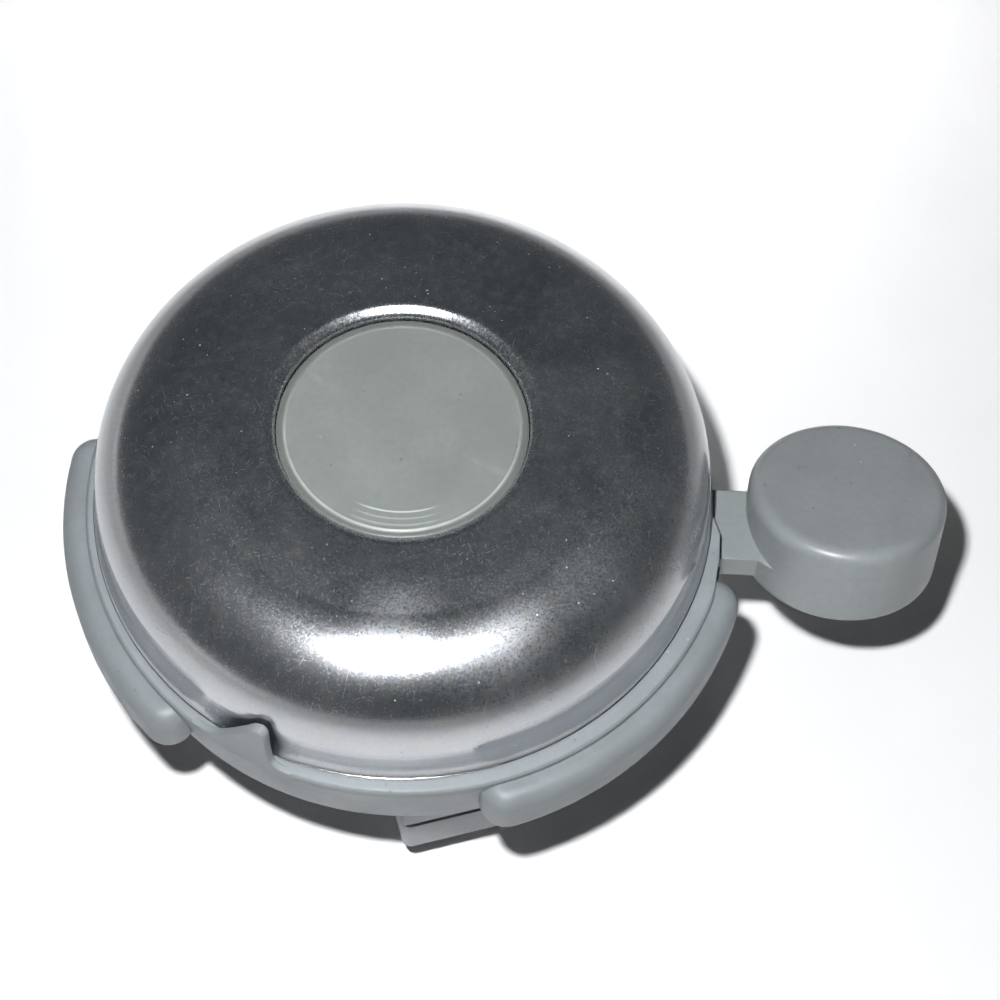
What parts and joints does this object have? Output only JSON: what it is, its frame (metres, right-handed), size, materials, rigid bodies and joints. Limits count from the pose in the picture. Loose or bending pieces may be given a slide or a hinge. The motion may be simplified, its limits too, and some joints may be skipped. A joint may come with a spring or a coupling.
{
  "type": "bicycle bell",
  "caption": "Thumb-lever handlebar bell: aluminium dome with a grey centre cap over a grey plastic housing, geared rotor with loose hammer washers, bolted handlebar clamp.",
  "frame": {"origin": "centre of the handlebar clamp's bore", "axes": "+X along the handlebar, +Z along the dome's axis away from the bar, +Y forward across the bar"},
  "size_m": [0.0843, 0.0668, 0.0499],
  "materials": {
    "housing_plastic": "moulded grey plastic, semi-matt",
    "cap_plastic": "moulded grey plastic, semi-matt",
    "lever_plastic": "moulded grey plastic, semi-matt",
    "clamp_plastic": "moulded grey plastic, semi-matt",
    "dome_aluminium": "polished, fine scratches",
    "zinc_steel": "bright zinc plated",
    "spring_steel": "oiled spring steel",
    "gear_nylon": "natural nylon",
    "pinion_brass": "turned",
    "hammer_steel": "tumbled steel washers"
  },
  "bodies": {
    "root": {"base_housing": "housing_plastic", "clamp_saddle": "clamp_plastic", "clamp_jaw": "clamp_plastic", "clamp_screws": "zinc_steel", "clamp_nuts": "zinc_steel", "mechanism_plate": "zinc_steel", "plate_screws": "zinc_steel", "centre_post": "zinc_steel", "dome_washer": "zinc_steel", "bell_dome": "dome_aluminium", "dome_nut": "zinc_steel", "centre_cap": "cap_plastic", "lever_pivot_pin": "zinc_steel", "lever_pivot_clip": "spring_steel", "idler_pin": "zinc_steel", "idler_clip": "spring_steel", "rotor_clip": "spring_steel", "lever_return_spring": "spring_steel"},
    "lever": {"thumb_lever": "lever_plastic"},
    "idler": {"idler_gear": "gear_nylon"},
    "rotor": {"rotor_pinion": "pinion_brass", "rotor_arm": "zinc_steel", "hammer_stud_1": "zinc_steel", "hammer_stud_2": "zinc_steel"},
    "hammer_1": {"hammer_1": "hammer_steel"},
    "hammer_2": {"hammer_2": "hammer_steel"}
  },
  "joints": [
    {"name": "rotor_spin", "type": "hinge", "parent": "root", "child": "rotor", "pos_m": [0, 0, 0.021], "axis": [0, 0, 1], "range_deg": [0, 403.2]},
    {"name": "lever_press", "type": "hinge", "parent": "root", "child": "lever", "pos_m": [0.017, 0, 0.0177], "axis": [0, 0, 1], "range_deg": [0, 45], "stiffness_Nm_per_rad": 0.02, "springref_deg": -34.38, "deforming": ["lever_return_spring"]},
    {"name": "idler_spin", "type": "hinge", "parent": "root", "child": "idler", "pos_m": [0.007, 0.0135, 0.018], "axis": [0, 0, 1], "range_deg": [-144, 0]},
    {"name": "hammer_1_throw", "type": "slide", "parent": "rotor", "child": "hammer_1", "axis": [0.766, 0.6428, 0], "range_m": [0, 0.0011]},
    {"name": "hammer_2_throw", "type": "slide", "parent": "rotor", "child": "hammer_2", "axis": [-0.766, -0.6428, 0], "range_m": [0, 0.0011]}
  ],
  "couplings": [
    {"joint": "lever_press", "follows": "rotor_spin", "ratio": 0.11161},
    {"joint": "idler_spin", "follows": "rotor_spin", "ratio": -0.35714}
  ]
}
